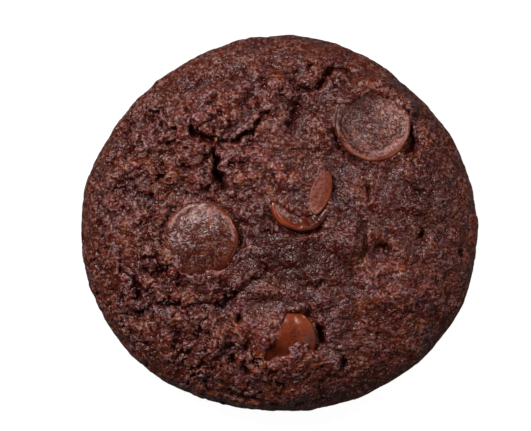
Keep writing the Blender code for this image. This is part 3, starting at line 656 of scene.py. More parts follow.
def shapeDough(crust):
    points, normals = readSurface(crust)
    x, y = points[:, 0], points[:, 1]
    flat = np.column_stack([x, y, points[:, 2] * 0.5])
    strayX, strayY, widen = wanderingAt(points)
    ragged = cloudField(flat, 1.1, 3, 3)
    upward = fade(0.15, 0.55, normals[:, 2])
    height = reliefAt(x + strayX, y + strayY, points[:, 2], ragged, widen)
    lift = (height - points[:, 2]) * upward
    # broad unevenness and the clods of a crust that has cracked in the oven
    rolling = dough["rolling"] * cloudField(flat, 5.5, 2, 5)
    clods = cobbles(strayed(flat, 0.5, 1.6, 2, 6, axes=2), dough["clods"], 8)[0]
    underside = fade(-0.55, -0.85, normals[:, 2])
    steady = 0.30 + 0.70 * fade(0.0, 0.5, normals[:, 2])
    rise = (rolling + brokenness(x, y) * clods) * steady * clearOfChips(x, y) * (1 - underside)
    points += normals * rise[:, None]
    points[:, 2] += lift
    points[:, 2] = np.maximum(points[:, 2], 0.0)
    writePoints(crust, points * mm)


def brokenness(x, y):
    return 0.45 + 0.55 * patchwork(x, y, dough["broken"])


def patchwork(x, y, patches):
    strength = np.zeros(x.shape)
    for patch in patches:
        strength = np.maximum(strength, patch[5] * swelling(x, y, patch, 1.0))
    return strength


def tintDough(crust):
    points = readPoints(crust) / mm
    drift = 1.6 * cloudField(points, 3.0, 3, 18), 1.6 * cloudField(points, 3.0, 3, 19)
    x, y = points[:, 0] + drift[0], points[:, 1] + drift[1]
    # painted shade: the bake mask darkens towards the rim, where the side turns away from the light
    rim = fade(0.80, 1.0, np.array([shareAt(*spot) for spot in points[:, :2]]))
    baked = 1 + sum(patch[5] * swelling(x, y, patch, 1.0) for patch in dough["baked"])
    warm = np.maximum(patchwork(x, y, dough["warm"]), 0.6 * rim)
    writeMasks(crust, baked=baked * (1 - 0.22 * rim), cool=patchwork(x, y, dough["cool"]), warm=warm)


def clearOfChips(x, y):
    clear = np.ones(x.shape)
    for chip in chips.values():
        clear *= fade(chip["radius"] - 0.4, chip["radius"] + 0.8, chipReach(chip, x, y)[0])
    return clear


def smallGrain(points, warped):
    # beads, folds and fine unevenness in mm, and a number that is each bead's own
    spec = dough["beads"]
    near, second, own = cellField(warped, spec["size"], 11)
    seams = spec["groove"] * fade(spec["seam"], 0.0, second - near)
    beads = spec["dome"] * (0.5 - near) + spec["step"] * (own - 0.5) - seams
    folds = dough["folds"] * (0.35 - np.abs(cloudField(points, 1.0, 2, 12)) * 2.2)
    return beads + folds + dough["unevenness"] * cloudField(points, 0.62, 1, 13), own


def grainDough(crust):
    points, normals = readSurface(crust)
    x, y = points[:, 0], points[:, 1]
    broken = brokenness(x, y) * (0.8 + 0.5 * cloudField(points, 4.0, 2, 10))
    clear = 0.35 + 0.65 * clearOfChips(x, y)
    steady = 0.42 + 0.58 * fade(0.05, 0.60, normals[:, 2])
    warped = strayed(points, 0.32, 0.9, 2, 16)
    curds, own = cobbles(warped, dough["curds"], 9)
    beads, smallOwn = smallGrain(points, warped)
    # narrow clefts where the crust is broken, and a pit in some of the cells
    near, second, _ = cellField(strayed(points, 0.55, 1.3, 3, 21), dough["clefts"]["size"], 15)
    parted = fade(-0.16, 0.04, cloudField(points, 2.4, 2, 24)) * fade(0.35, 0.65, broken)
    parted *= clearOfChips(x, y)
    clefts = parted * fade(0.19, 0.06, second - near)
    swell = parted * dough["clefts"]["swell"] * (0.5 - near)
    pitNear, _, pitOwn = cellField(points, dough["pits"]["size"], 14)
    pits = fade(0.24, 0.06, pitNear) * (pitOwn > dough["pits"]["missing"])
    strayX, strayY, widen = wanderingAt(points)
    # how far into a crease each point lies, for painted shade in the cracks
    cracked = np.zeros(x.shape)
    for crease in dough["creases"]:
        cut = creaseCut(x + strayX, y + strayY, crease, widen)[0]
        cracked = np.maximum(cracked, fade(0.25, 0.75, cut / crease[1]) * min(crease[1], 1.3) / 1.3)
    cracked *= fade(0.0, 0.3, normals[:, 2] + 0.3)
    underside = fade(-0.75, -0.95, normals[:, 2]) * fade(0.6, 0.1, points[:, 2])
    rise = clear * (broken * curds - dough["pits"]["depth"] * pits) + beads + swell
    rise = (rise - dough["clefts"]["depth"] * clefts + 0.12) * steady * (1 - 0.75 * underside)
    points += normals * rise[:, None]
    points[:, 2] = np.maximum(points[:, 2], 0.0)
    writePoints(crust, points * mm)
    # painted shade: the clefts, pits and creases are painted dark in the material
    opened = np.maximum.reduce([clefts, 0.8 * pits * clear, cracked * clearOfChips(x, y)])
    writeMasks(crust, tone=0.5 * own + 0.5 * smallOwn, cleft=opened)


def thinUnderside(crust):
    points = readPoints(crust)
    pick(crust)
    goTo("EDIT")
    bpy.ops.mesh.select_mode(type="FACE")
    bpy.ops.mesh.select_all(action="DESELECT")
    goTo("OBJECT")
    for face in crust.data.polygons:
        face.select = face.normal.z < -0.8 and all(points[v][2] < 0.4 * mm for v in face.vertices)
    goTo("EDIT")
    bpy.ops.mesh.decimate(ratio=dough["undersideKept"])
    bpy.ops.mesh.select_all(action="SELECT")
    bpy.ops.mesh.quads_convert_to_tris()
    goTo("OBJECT")


def buildDough():
    crust = buildDoughBlank()
    applyModifier(crust, "SUBSURF", levels=1, render_levels=1)
    remesh(crust, dough["voxel"])
    shapeDough(crust)
    print("dough shaped:", len(crust.data.polygons), "faces")
    remesh(crust, dough["voxel"])
    grainDough(crust)
    fine, broad, lump = (hollowness(crust, rounds) for rounds in dough["hollowRounds"])
    writeMasks(crust, hollowFine=fine, hollowBroad=broad, hollowLump=lump)
    tintDough(crust)
    thinUnderside(crust)
    applyModifier(crust, "DECIMATE", ratio=min(1.0, dough["mostTriangles"] / len(crust.data.polygons)))
    bpy.ops.object.shade_smooth()
    print("dough finished:", len(crust.data.polygons), "triangles")
    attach(crust, "root")
    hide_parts("cookie")
    return crust


# crumbs baked onto the crust: how many, size in mm, how far they stand out, flatness
crumbs = {
    "crumbFine": {"count": 2500, "size": (0.12, 0.20), "out": 0.2, "flat": 0.65, "seed": 31},
    "crumbCoarse": {"count": 900, "size": (0.18, 0.34), "out": 0.0, "flat": 0.60, "seed": 34},
    "crumbStray": {"count": 70, "size": (0.10, 0.26), "out": 0.2, "flat": 0.60, "seed": 37},
}


def crumbPlaces(crust):
    # where crumbs lie on the dough: points, normals, how likely, and how pale, which is painted shade:
    # darker in the hollows
    points, normals = readSurface(crust)
    hollow = np.empty(len(points), np.float32)
    crust.data.attributes["hollowBroad"].data.foreach_get("value", hollow)
    share = np.array([shareAt(*spot) for spot in points[:, :2]])
    chance = fade(0.985, 0.92, share) * fade(0.15, 0.6, normals[:, 2]) * fade(0.25, 0.05, hollow) + 1e-9
    for chip in chips.values():
        reach = chipReach(chip, points[:, 0], points[:, 1])[0]
        chance *= fade(chip["radius"] - 0.2, chip["radius"] + 0.5, reach) + 1e-6
    return points, normals, chance, fade(0.15, -0.25, hollow)


def strayPlaces(pieces):
    # and where a few lie on the chips
    points, normals = (np.concatenate(parts) for parts in zip(*map(readSurface, pieces)))
    chance = fade(0.75, 0.95, normals[:, 2]) * fade(0.0, 0.4, cloudField(points, 2.6, 2, 61)) + 1e-9
    return points, normals, chance, np.full(len(points), 0.7)


def tumbled(rng, count):
    # one turning matrix per crumb, any way round
    turns = rng.normal(0, 1, (count, 4))
    turns /= np.linalg.norm(turns, axis=1)[:, None]
    w, a, b, c = turns.T
    return np.stack([
        np.stack([1 - 2 * (b * b + c * c), 2 * (a * b - w * c), 2 * (a * c + w * b)], 1),
        np.stack([2 * (a * b + w * c), 1 - 2 * (a * a + c * c), 2 * (b * c - w * a)], 1),
        np.stack([2 * (a * c - w * b), 2 * (b * c + w * a), 1 - 2 * (a * a + b * b)], 1),
    ], 1)


def scatterCrumbs(name, spec, places, material):
    rng = np.random.default_rng(spec["seed"])
    points, normals, chance, raised = places
    spots = rng.choice(len(points), spec["count"], replace=False, p=chance / chance.sum())
    deselectAll()
    bpy.ops.mesh.primitive_ico_sphere_add(subdivisions=1, radius=1)
    piece = bpy.context.object
    piece.name = name
    grain = readPoints(piece)
    faces = np.array([face.vertices[:] for face in piece.data.polygons])
    count = spec["count"]
    size = rng.uniform(*spec["size"], count)
    stretch = np.column_stack([size * rng.uniform(1.0, 1.5, count), size, size * spec["flat"]])
    shape = grain * (1 + rng.normal(0, 0.16, (count, len(grain), 1))) * stretch[:, None, :]
    shape = np.einsum("nij,nkj->nki", tumbled(rng, count), shape)
    shape += (points[spots] + normals[spots] * (spec["out"] * size)[:, None])[:, None, :]
    mesh = piece.data
    mesh.clear_geometry()
    allFaces = (faces[None] + len(grain) * np.arange(count)[:, None, None]).reshape(-1, 3)
    mesh.from_pydata((shape.reshape(-1, 3) * mm).tolist(), [], allFaces.tolist())
    # painted shade: crumbs in hollows are darker and those on rises paler, with some random tone
    tone = np.clip(0.45 * rng.random(count) + 0.55 * raised[spots], 0, 1)
    writeMasks(piece, tone=np.repeat(tone, len(grain)))
    pick(piece)
    bpy.ops.object.shade_flat()
    mesh.materials.append(material)
    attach(piece, "root")


def buildChip(name, chip):
    radius, depth, wall = chip["radius"] * mm, chipMould["depth"] * mm, chipMould["wall"] * mm
    rim = chipMould["rimShare"] * radius
    dish = chip["dish"] * mm
    deselectAll()
    bpy.ops.mesh.primitive_cone_add(vertices=64, radius1=0.80 * radius, radius2=radius, depth=wall,
                                    location=(0, 0, -0.7 * rim - wall / 2))
    piece = bpy.context.object
    piece.name = name
    applyPlace(piece)
    goTo("EDIT")
    bpy.ops.mesh.select_mode(type="FACE")
    # top: rounded rim, then the dish
    selectFaces(piece, lambda face: face.normal.z > 0.9)
    steps = [(0.3 * rim, 0.45 * rim), (0.7 * rim, 0.25 * rim)]
    if dish > 0:
        steps += [(0.8 * rim, -0.15 * rim), (1.2 * rim, -0.7 * dish), (0.3 * radius, -0.3 * dish)]
    else:
        steps += [(0.15 * radius, -0.35 * dish), (0.22 * radius, -0.40 * dish)]
        steps.append((0.25 * radius, -0.25 * dish))
    for thick, drop in steps:
        bpy.ops.mesh.inset(thickness=thick, depth=0)
        bpy.ops.transform.translate(value=(0, 0, drop))
    # underneath: the drop's slumped tip
    selectFaces(piece, lambda face: face.normal.z < -0.9)
    for shrink, drop in ((0.78, 0.25), (0.72, 0.35), (0.55, 0.25), (0.5, 0.15)):
        extrude(-drop * (depth - wall))
        bpy.ops.transform.resize(value=(shrink, shrink, 1))
    goTo("OBJECT")
    applyModifier(piece, "SUBSURF", levels=2, render_levels=2)
    remesh(piece, chipMould["voxel"])
    return piece


def selectFaces(piece, wanted):
    goTo("OBJECT")
    for face in piece.data.polygons:
        face.select = wanted(face)
    goTo("EDIT")


def band(reach, way, arc):
    direction, spread, radius, halfWidth, strength = arc
    sector = fade(spread, spread * 0.45, turnBetween(way, direction))
    return strength * sector * np.exp(-(((reach - radius) / halfWidth) ** 2))


def strongest(layers, shape):
    return np.maximum.reduce([np.zeros(shape), *layers])


def leaning(spec):
    # the move that takes a chip from the origin to its place
    lean = Vector((0, 0, 1)).rotation_difference(chipAxis(spec)).to_matrix().to_4x4()
    return Matrix.Translation(Vector((*spec["at"], chipMiddle(spec))) * mm) @ lean


def setInDough(piece, spec, move):
    piece.data.transform(move)
    piece.data.update()
    pick(piece)
    bpy.ops.object.shade_smooth()
    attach(piece, "root")
    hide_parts(spec["node"])


def finishChip(piece, chip):
    points, normals = readSurface(piece)
    seed = 20 + list(chips).index(piece.name)
    wander = 0.5 * cloudField(points, 1.6, 3, seed)
    reach = np.hypot(points[:, 0], points[:, 1])
    way = np.degrees(np.arctan2(points[:, 1], points[:, 0]))
    top = fade(0.0, 0.4, normals[:, 2])
    ways, widths = zip(*chip["rim"])
    inner = chip["radius"] - np.interp(way, ways, widths, period=360)
    grainy = fade(0.18, -0.18, reach - inner + 0.5 * wander) * top * chip["coated"]
    rise = waves(points, chipMould["waves"], (seed + 10, seed + 15))
    warped = strayed(points, 0.32, 0.9, 2, seed + 16)
    rise += chipMould["grain"] * grainy * smallGrain(points + 40.0, warped + 40.0)[0]
    rise += top * sum(band(reach + 0.6 * wander, way, arc) for arc in chip["ridges"])
    points += normals * rise[:, None]
    writePoints(piece, points * mm)
    x, y = points[:, 0] + wander, points[:, 1] - wander
    coats = [band(reach + 0.5 * wander, way + 12 * wander, arc) for arc in chip["bloom"]]
    dulled = [band(reach, way, arc) for arc in chip["matte"]]
    dusted = chip["dust"] + patchwork(x, y, chip["dusted"])
    dusted *= 0.75 + 0.9 * cloudField(points, 1.3, 2, seed + 5)
    # painted shade: the top is painted lighter one way and darker the other, as light falls across it
    lighter, amount = math.radians(chip["shade"][0]), chip["shade"][1]
    shade = (x * math.cos(lighter) + y * math.sin(lighter)) / chip["radius"]
    writeMasks(
        piece, bare=1 - grainy, matte=strongest(dulled, x.shape), bloom=strongest(coats, x.shape) * top,
        smear=np.minimum(patchwork(x, y, chip["smears"]), 1) * top, dusted=np.clip(dusted, 0, 1),
        shade=1 + amount * np.clip(shade, -1, 1) * top, hollowFine=hollowness(piece, 5),
    )
    setInDough(piece, chip, leaning(chip))


# the leaf-shaped flake that lies against the middle chip; sizes in mm
flake = {
    "node": "chip_flake", "at": (6.9, 4.5), "rise": 0.58, "lean": (205, 4), "turn": 82,
    "length": 7.4, "breadth": 3.6, "thickness": 1.9, "skew": 0.9,
    "rim": 0.25, "sunk": 0.05, "voxel": 0.12, "shade": 1.10,
    "waves": ((0.06, 2.4), (0.022, 0.6)),  # height and size of the unevenness
}


def buildFlake():
    deselectAll()
    bpy.ops.mesh.primitive_circle_add(vertices=32, radius=1, fill_type="NGON")
    piece = bpy.context.object
    piece.name = "chipFlake"
    for vert in piece.data.vertices:
        angle = math.atan2(vert.co.y, vert.co.x)
        narrow = abs(math.sin(angle)) ** 1.25
        vert.co.x = (math.cos(angle) * flake["length"] / 2 - flake["skew"] * math.sin(angle)) * mm
        vert.co.y = math.copysign(narrow, math.sin(angle)) * flake["breadth"] / 2 * mm
    goTo("EDIT")
    bpy.ops.mesh.select_all(action="SELECT")
    bpy.ops.transform.translate(value=(0, 0, -flake["thickness"] * mm))
    extrude(flake["thickness"] * mm)
    bpy.ops.mesh.inset(thickness=flake["rim"] * mm, depth=0.0)
    bpy.ops.mesh.inset(thickness=flake["rim"] * mm, depth=-flake["sunk"] * mm)
    bpy.ops.mesh.select_all(action="SELECT")
    bpy.ops.mesh.normals_make_consistent(inside=False)
    goTo("OBJECT")
    remesh(piece, flake["voxel"])
    applyModifier(piece, "SMOOTH", factor=0.5, iterations=3)
    return piece


def finishFlake(piece):
    points, normals = readSurface(piece)
    rise = waves(points, flake["waves"], (50, 51))
    points += normals * rise[:, None]
    writePoints(piece, points * mm)
    face = fade(0.3, 0.8, normals[:, 2])
    # how far each point is from the leaf's middle line, 1 at its edge
    along = points[:, 0] + 2 * flake["skew"] * points[:, 1] / flake["breadth"]
    breadthAt = flake["breadth"] / 2 * np.clip(1 - (2 * along / flake["length"]) ** 2, 0.02, 1) ** 0.63
    aside = points[:, 1] / breadthAt
    edge = fade(0.70, 0.92, np.abs(aside) + 0.15 * cloudField(points, 1.2, 2, 52))
    lowerLeft = fade(0.1, 0.5, aside) * fade(2.0, -0.5, points[:, 0])
    # painted light: the pale coat lies on the left side, as if lit from the left
    leftSide = fade(-0.9, 0.3, aside)
    speckle = fade(-0.35, 0.45, cloudField(points, 0.5, 2, 55))
    coat = (0.14 + 0.30 * speckle) * (1 - edge) * leftSide
    # painted shade: a dark smear along the right edge
    rightSide = fade(-0.1, -0.6, aside)
    smudged = 0.25 * fade(0.0, 0.8, cloudField(points, 1.5, 2, 54))
    writeMasks(
        piece, bare=1 - face * (0.26 - 0.24 * edge), bloom=face * (coat + 0.75 * edge * lowerLeft),
        smear=np.maximum(smudged, 0.35 * edge * rightSide), dusted=np.zeros(len(points)),
        matte=0.2 + 0.4 * edge, shade=np.full(len(points), flake["shade"]), hollowFine=hollowness(piece, 4),
    )
    setInDough(piece, flake, leaning(flake) @ Matrix.Rotation(math.radians(flake["turn"]), 4, "Z"))


def newMaterial(name):
    material = bpy.data.materials.new(name)
    material.use_nodes = True
    tree = material.node_tree
    return material, tree, tree.nodes["Principled BSDF"]


def feed(tree, node, inputs):
    # links or sets each input, by its name or number
    for name, value in inputs.items():
        if isinstance(value, bpy.types.NodeSocket):
            tree.links.new(value, node.inputs[name])
        else:
            node.inputs[name].default_value = value


def addNode(tree, kind, inputs=None, **settings):
    node = tree.nodes.new(kind)
    for name, value in settings.items():
        setattr(node, name, value)
    feed(tree, node, inputs or {})
    return node


def attribute(tree, name):
    return addNode(tree, "ShaderNodeAttribute", attribute_name=name).outputs["Fac"]


def ramp(tree, factor, *stops):
    node = addNode(tree, "ShaderNodeValToRGB", {"Fac": factor})
    elements = node.color_ramp.elements
    while len(elements) < len(stops):
        elements.new(0.5)
    for element, (place, color) in zip(elements, stops):
        element.position = place
        element.color = (*color, 1)
    return node.outputs["Color"]


def mixColor(tree, factor, a, b, blend="MIX"):
    # 6 and 7 are the two colours, 2 the mixed one
    a, b = ((*color, 1) if isinstance(color, tuple) else color for color in (a, b))
    inputs = {0: factor, 6: a, 7: b}
    return addNode(tree, "ShaderNodeMix", inputs, data_type="RGBA", blend_type=blend).outputs[2]


def mapRange(tree, value, low, high, toLow=0.0, toHigh=1.0):
    limits = {"From Min": low, "From Max": high, "To Min": toLow, "To Max": toHigh}
    return addNode(tree, "ShaderNodeMapRange", {"Value": value, **limits}).outputs["Result"]


def addNoise(tree, place, scale, detail, roughness=0.5):
    settings = {"Vector": place, "Scale": scale, "Detail": detail, "Roughness": roughness}
    return addNode(tree, "ShaderNodeTexNoise", settings).outputs


def objectNoise(tree, scale, detail=2.0, roughness=0.5, seed=0.0):
    coords = addNode(tree, "ShaderNodeTexCoord").outputs["Object"]
    shift = (seed, seed * 0.7, seed * 0.3)
    moved = addNode(tree, "ShaderNodeMapping", {"Vector": coords, "Location": shift}).outputs["Vector"]
    return addNoise(tree, moved, scale, detail, roughness)["Fac"]


def addBump(tree, height, distance):
    settings = {"Height": height, "Distance": distance, "Strength": 1.0}
    return addNode(tree, "ShaderNodeBump", settings).outputs["Normal"]


def makeGroup(name, inputs, outputs):
    group = bpy.data.node_groups.new(name, "ShaderNodeTree")
    for title, start in inputs.items():
        socket = group.interface.new_socket(title, in_out="INPUT", socket_type="NodeSocketFloat")
        socket.default_value = start
    for title, kind in outputs.items():
        group.interface.new_socket(title, in_out="OUTPUT", socket_type="NodeSocket" + kind)
    return group, group.nodes.new("NodeGroupInput").outputs, group.nodes.new("NodeGroupOutput").inputs


def calculate(tree, operation, result, *others):
    for other in others:
        result = addNode(tree, "ShaderNodeMath", {0: result, 1: other}, operation=operation).outputs[0]
    return result


def add(tree, *values):
    return calculate(tree, "ADD", *values)


def multiply(tree, *values):
    return calculate(tree, "MULTIPLY", *values)


def larger(tree, *values):
    return calculate(tree, "MAXIMUM", *values)


def vectorMath(tree, operation, a, b):
    second = "Scale" if operation == "SCALE" else 1
    return addNode(tree, "ShaderNodeVectorMath", {0: a, second: b}, operation=operation).outputs[0]


def buildGrain():
    # short curly strands lying every way, specks, and a drift of colour between orange and purple
    group, given, result = makeGroup("bakedGrain", {"Scale": 1300.0, "Seed": 0.0}, {
        "Strand": "Float", "Speck": "Float", "Height": "Float", "Tint": "Color"})
    coords = addNode(group, "ShaderNodeTexCoord").outputs["Object"]
    shift = addNode(group, "ShaderNodeCombineXYZ", {"X": given["Seed"], "Y": given["Seed"]}).outputs[0]
    place = vectorMath(group, "ADD", coords, shift)
    coarse = multiply(group, given["Scale"], 0.8)
    bend = vectorMath(group, "SUBTRACT", addNoise(group, place, coarse, 1.0)["Color"], (0.5, 0.5, 0.5))
    bent = vectorMath(group, "ADD", place, vectorMath(group, "SCALE", bend, 0.0006))
    half = multiply(group, given["Scale"], 0.5)
    tufts = addNode(group, "ShaderNodeTexVoronoi", {"Vector": bent, "Scale": half})
    turned = addNode(group, "ShaderNodeVectorRotate", rotation_type="EULER_XYZ", inputs={
        "Vector": place, "Rotation": vectorMath(group, "SCALE", tufts.outputs["Color"], 6.28)}).outputs[0]
    drawnOut = vectorMath(group, "MULTIPLY", turned, (1.0, 1.0, 0.42))
    strands = addNoise(group, drawnOut, given["Scale"], 0.5)["Fac"]
    specks = addNoise(group, place, multiply(group, given["Scale"], 1.6), 1.0)["Fac"]
    drift = addNoise(group, place, coarse, 1.5, 0.7)["Color"]
    drift = vectorMath(group, "SUBTRACT", drift, (0.5, 0.5, 0.5))
    drift = vectorMath(group, "MULTIPLY", drift, (0.0, 0.75, 1.9))
    group.links.new(strands, result["Strand"])
    group.links.new(specks, result["Speck"])
    height = add(group, multiply(group, strands, 1.6), multiply(group, specks, 0.6))
    group.links.new(height, result["Height"])
    group.links.new(vectorMath(group, "ADD", drift, (1.0, 1.0, 1.0)), result["Tint"])
    return group


bakedGrain = buildGrain()


def addGrain(tree, scale, seed):
    return addNode(tree, "ShaderNodeGroup", {"Scale": scale, "Seed": seed}, node_tree=bakedGrain).outputs


doughLook = {
    # the dark of the pores, also used as painted shade in hollows and cracks
    "deep": (0.054, 0.0040, 0.0015),
    "base": (0.134, 0.0165, 0.0082),
    "warm": (0.190, 0.0345, 0.0078),
    "cool": (0.092, 0.0245, 0.0262),
    "dry": (0.410, 0.232, 0.214),
    "roughness": (0.24, 0.34),
    "specular": 0.34,
    "grain": 1900.0,
    "warmSpots": 260.0,
    "coolSpots": 340.0,
    "bump": 0.00025,  # metres
}


def doughMaterial():
    material, tree, shader = newMaterial("bakedDough")
    look = doughLook
    grain = addGrain(tree, look["grain"], 0.0)
    fineHollow = attribute(tree, "hollowFine")
    lumpTop = mapRange(tree, attribute(tree, "hollowLump"), 0.45, -0.45)
    baked = attribute(tree, "baked")
    warmth = mapRange(tree, objectNoise(tree, look["warmSpots"], 3), 0.48, 0.60)
    color = mixColor(tree, larger(tree, warmth, attribute(tree, "warm")), look["base"], look["warm"])
    chill = mapRange(tree, objectNoise(tree, look["coolSpots"], 3, 0.6, 0.011), 0.50, 0.62, 0.0, 0.9)
    color = mixColor(tree, larger(tree, chill, attribute(tree, "cool")), color, look["cool"])
    # painted shade and light: darker in the hollows round a lump and lighter on its top, times each cell's
    # own random tone and the bake mask
    shade = mapRange(tree, attribute(tree, "tone"), 0.1, 0.9, 0.80, 1.12)
    shade = multiply(tree, shade, mapRange(tree, lumpTop, 0.0, 1.0, 0.50, 1.30), baked)
    color = mixColor(tree, 1.0, color, shade, "MULTIPLY")
    # dry and pale on the strands, partly a painted highlight, most of all on top of a lump
    pale = mapRange(tree, grain["Strand"], 0.50, 0.62)
    pale = multiply(tree, pale, mapRange(tree, fineHollow, 0.05, -0.10, 0.22, 0.70),
                    mapRange(tree, lumpTop, 0.2, 0.9, 0.3, 1.0), baked)
    color = mixColor(tree, pale, color, look["dry"])
    color = mixColor(tree, 1.0, color, grain["Tint"], "MULTIPLY")
    # where the bake mask is darker, partly painted shade, the crust is also more open, with more dark pores
    opened = multiply(tree, calculate(tree, "SUBTRACT", baked, 1.0), 0.20)
    pores = mapRange(tree, add(tree, grain["Strand"], opened), 0.45, 0.36, 0.0, 0.78)
    # painted shade in the fine and broad hollows and in the cracks, together with the dark pores
    pores = larger(tree, pores, mapRange(tree, fineHollow, 0.03, 0.17),
                   mapRange(tree, attribute(tree, "hollowBroad"), 0.10, 0.55), attribute(tree, "cleft"))
    rough = mapRange(tree, grain["Speck"], 0.35, 0.65, look["roughness"][1], look["roughness"][0])
    feed(tree, shader, {
        "Base Color": mixColor(tree, pores, color, look["deep"]),
        "Roughness": calculate(tree, "SUBTRACT", rough, multiply(tree, pores, 0.12)),
        "Specular IOR Level": look["specular"],
        "Normal": addBump(tree, grain["Height"], look["bump"]),
    })
    return material


crumbLook = {
    "dark": (0.040, 0.008, 0.005),
    "base": (0.105, 0.024, 0.016),
    "pale": (0.20, 0.075, 0.060),
    "roughness": 0.5,
    "specular": 0.35,
}


def crumbMaterial():
    material, tree, shader = newMaterial("doughCrumb")
    shades = (0.0, crumbLook["dark"]), (0.5, crumbLook["base"]), (1.0, crumbLook["pale"])
    color = ramp(tree, attribute(tree, "tone"), *shades)
    feed(tree, shader, {"Base Color": color, "Roughness": crumbLook["roughness"],
                        "Specular IOR Level": crumbLook["specular"]})
    return material


chocolateLook = {
    "bare": (0.225, 0.037, 0.0085),
    "bareDark": (0.130, 0.016, 0.004),
    "film": (0.088, 0.0125, 0.0062),
    "filmWarm": (0.210, 0.044, 0.014),
    "dry": (0.560, 0.340, 0.315),
    "bloom": (0.380, 0.180, 0.160),
    # the dark of the pores, also used as painted shade in the fine hollows
    "deep": (0.030, 0.005, 0.003),
    "smear": (0.060, 0.0065, 0.0025),
    "roughness": (0.24, 0.17),
    "specular": 0.36,
    "grain": 2600.0,
    "warmSpots": 520.0,
    "clouds": 330.0,
    "bump": 0.00008,  # metres
}


def chocolateMaterial():
    material, tree, shader = newMaterial("bakingChocolate")
    look = chocolateLook
    grain = addGrain(tree, look["grain"], 0.05)
    bare, hollow, dusted = attribute(tree, "bare"), attribute(tree, "hollowFine"), attribute(tree, "dusted")
    evened = mapRange(tree, dusted, 0.0, 1.0, 1.0, 0.55)
    # the grainy top with its dry wrinkles, partly painted highlights, and pores
    warmth = mapRange(tree, objectNoise(tree, look["warmSpots"], 3, 0.6, 0.021), 0.52, 0.62)
    top = mixColor(tree, warmth, look["film"], look["filmWarm"])
    pale = mapRange(tree, grain["Strand"], 0.52, 0.62)
    pale = multiply(tree, pale, mapRange(tree, hollow, 0.04, -0.06, 0.45, 0.95),
                    mapRange(tree, dusted, 0.0, 1.0, 0.26, 1.0))
    top = mixColor(tree, pale, top, look["dry"])
    top = mixColor(tree, 1.0, top, grain["Tint"], "MULTIPLY")
    pores = multiply(tree, mapRange(tree, grain["Strand"], 0.46, 0.37, 0.0, 0.80), evened)
    # painted shade in the fine hollows, together with the pores
    top = mixColor(tree, larger(tree, pores, mapRange(tree, hollow, 0.02, 0.10)), top, look["deep"])
    # the smooth bare chocolate
    cloud = mapRange(tree, objectNoise(tree, look["clouds"], 2, 0.5, 0.033), 0.38, 0.62)
    smooth = mixColor(tree, cloud, look["bareDark"], look["bare"])
    color = mixColor(tree, bare, top, smooth)
    # pale coat, partly a painted sheen along the chips' rims
    bloom = attribute(tree, "bloom")
    coat = multiply(tree, mapRange(tree, grain["Strand"], 0.36, 0.60, 0.35, 1.0), bloom)
    color = mixColor(tree, coat, color, look["bloom"])
    # the dark smear colour, also painted shade where shade falls on the chips
    color = mixColor(tree, multiply(tree, attribute(tree, "smear"), 0.85), color, look["smear"])
    color = mixColor(tree, 1.0, color, attribute(tree, "shade"), "MULTIPLY")
    rough = larger(tree, bloom, attribute(tree, "matte"), multiply(tree, dusted, 0.6))
    rough = add(tree, mapRange(tree, bare, 0.0, 1.0, *look["roughness"]), multiply(tree, rough, 0.35))
    height = multiply(tree, grain["Height"], mapRange(tree, bare, 0.0, 1.0, 1.0, 0.10), evened)
    feed(tree, shader, {
        "Base Color": color,
        "Roughness": rough,
        "Specular IOR Level": look["specular"],
        "Normal": addBump(tree, height, look["bump"]),
    })
    return material


studio = {
    "cameraHeight": 0.386,
    "aim": (-2.31, 1.2),  # mm from the cookie's middle
    "aimHeight": 0.0056,
    "tilt": 3.0,  # degrees off straight down
    "lens": 152.8,
    "lights": {  # place, size and power
        "keyLight": ((-0.27, 0.27, 0.46), 0.22, 3.40),
        "fillLight": ((0.40, -0.10, 0.35), 0.30, 0.28),
        "glintLight": ((0.26, 0.24, 0.42), 0.09, 0.55),
    },
    "worldStrength": 0.035,
    "floorGlow": 0.97,
    "floorGrey": 0.12,
}


def areaLight(name, place, size, power):
    light = bpy.data.lights.new(name, "AREA")
    light.energy, light.size = power, size
    lamp = bpy.data.objects.new(name, light)
    bpy.context.scene.collection.objects.link(lamp)
    lamp.location = place
    lamp.rotation_euler = (-Vector(place)).to_track_quat("-Z", "Y").to_euler()


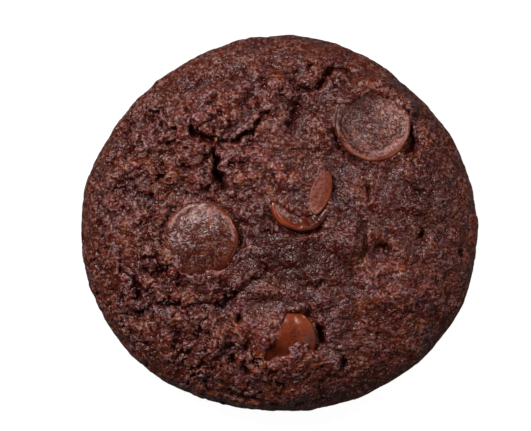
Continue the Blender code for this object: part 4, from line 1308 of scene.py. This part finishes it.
def buildStudio():
    deselectAll()
    bpy.ops.mesh.primitive_plane_add(size=3, location=(0, 0, 0))
    floor = bpy.context.object
    floor.name = "floor"
    material, tree, shader = newMaterial("paleFloor")
    # lit up for the camera only, so that it stays pale and throws no light on the cookie
    feed(tree, shader, {
        "Base Color": (*[studio["floorGrey"]] * 3, 1),
        "Roughness": 0.9,
        "Emission Color": addNode(tree, "ShaderNodeLightPath").outputs["Is Camera Ray"],
        "Emission Strength": studio["floorGlow"],
    })
    floor.data.materials.append(material)
    for name, light in studio["lights"].items():
        areaLight(name, *light)
    world = bpy.data.worlds.new("studioWorld")
    world.use_nodes = True
    sky = {"Color": (1, 1, 1, 1), "Strength": studio["worldStrength"]}
    feed(world.node_tree, world.node_tree.nodes["Background"], sky)
    bpy.context.scene.world = world
    bpy.context.scene.view_settings.view_transform = "Standard"
    camera = bpy.data.cameras.new("camera")
    camera.lens, camera.sensor_width = studio["lens"], 36
    viewer = bpy.data.objects.new("camera", camera)
    bpy.context.scene.collection.objects.link(viewer)
    tilt = math.radians(studio["tilt"])
    aim = Vector((studio["aim"][0] * mm, studio["aim"][1] * mm, studio["aimHeight"]))
    viewer.location = aim + Vector((0, -math.sin(tilt), math.cos(tilt))) * studio["cameraHeight"]
    viewer.rotation_euler = (tilt, 0, 0)
    bpy.context.scene.camera = viewer


crust = buildDough()
crust.data.materials.append(doughMaterial())
chocolate = chocolateMaterial()
chipPieces = []
for chipName, chipSpec in chips.items():
    chipPieces.append(buildChip(chipName, chipSpec))
    finishChip(chipPieces[-1], chipSpec)
chipPieces.append(buildFlake())
finishFlake(chipPieces[-1])
for chipPiece in chipPieces:
    chipPiece.data.materials.append(chocolate)
print("chips finished")
crumbCoat = crumbMaterial()
onDough = crumbPlaces(crust)
places = {"crumbFine": onDough, "crumbCoarse": onDough, "crumbStray": strayPlaces(chipPieces[:2])}
for crumbName, crumbSpec in crumbs.items():
    scatterCrumbs(crumbName, crumbSpec, places[crumbName], crumbCoat)
print("crumbs scattered")
buildStudio()
